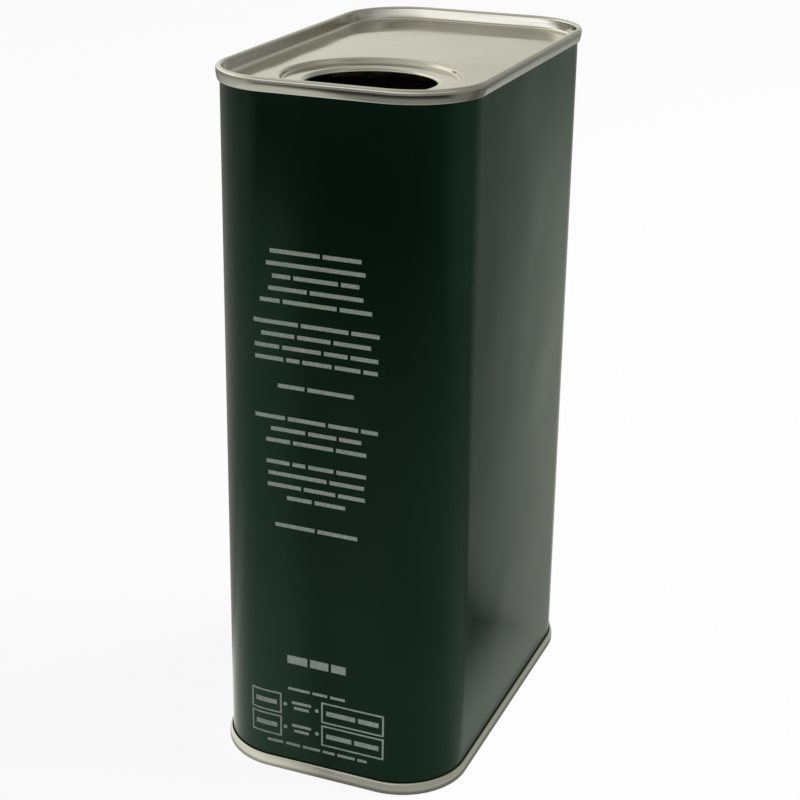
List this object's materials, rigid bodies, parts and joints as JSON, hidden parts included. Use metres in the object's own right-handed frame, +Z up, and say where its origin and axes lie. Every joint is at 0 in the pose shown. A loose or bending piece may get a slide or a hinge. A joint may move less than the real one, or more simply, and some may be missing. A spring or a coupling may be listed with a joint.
{
  "type": "square tin can",
  "caption": "Tall rectangular tinplate oil can with large rounded corners, green lacquered body, double-seamed plain ends and an open round mouth near the front of the top.",
  "frame": {"origin": "centre of the base, on the surface that the can stands on", "axes": "+Z up along the height, X along the narrow faces, Y along the wide faces, with the mouth towards -Y"},
  "size_m": [0.064, 0.104, 0.175],
  "materials": {
    "green_lacquer": "gloss lacquer on tinplate",
    "tinplate": "bright tinplate",
    "sealing_compound": "matt"
  },
  "bodies": {
    "root": {"can_body": "green_lacquer", "top_end": "tinplate", "bottom_end": "tinplate", "top_seam_compound": "sealing_compound", "bottom_seam_compound": "sealing_compound"}
  },
  "joints": []
}
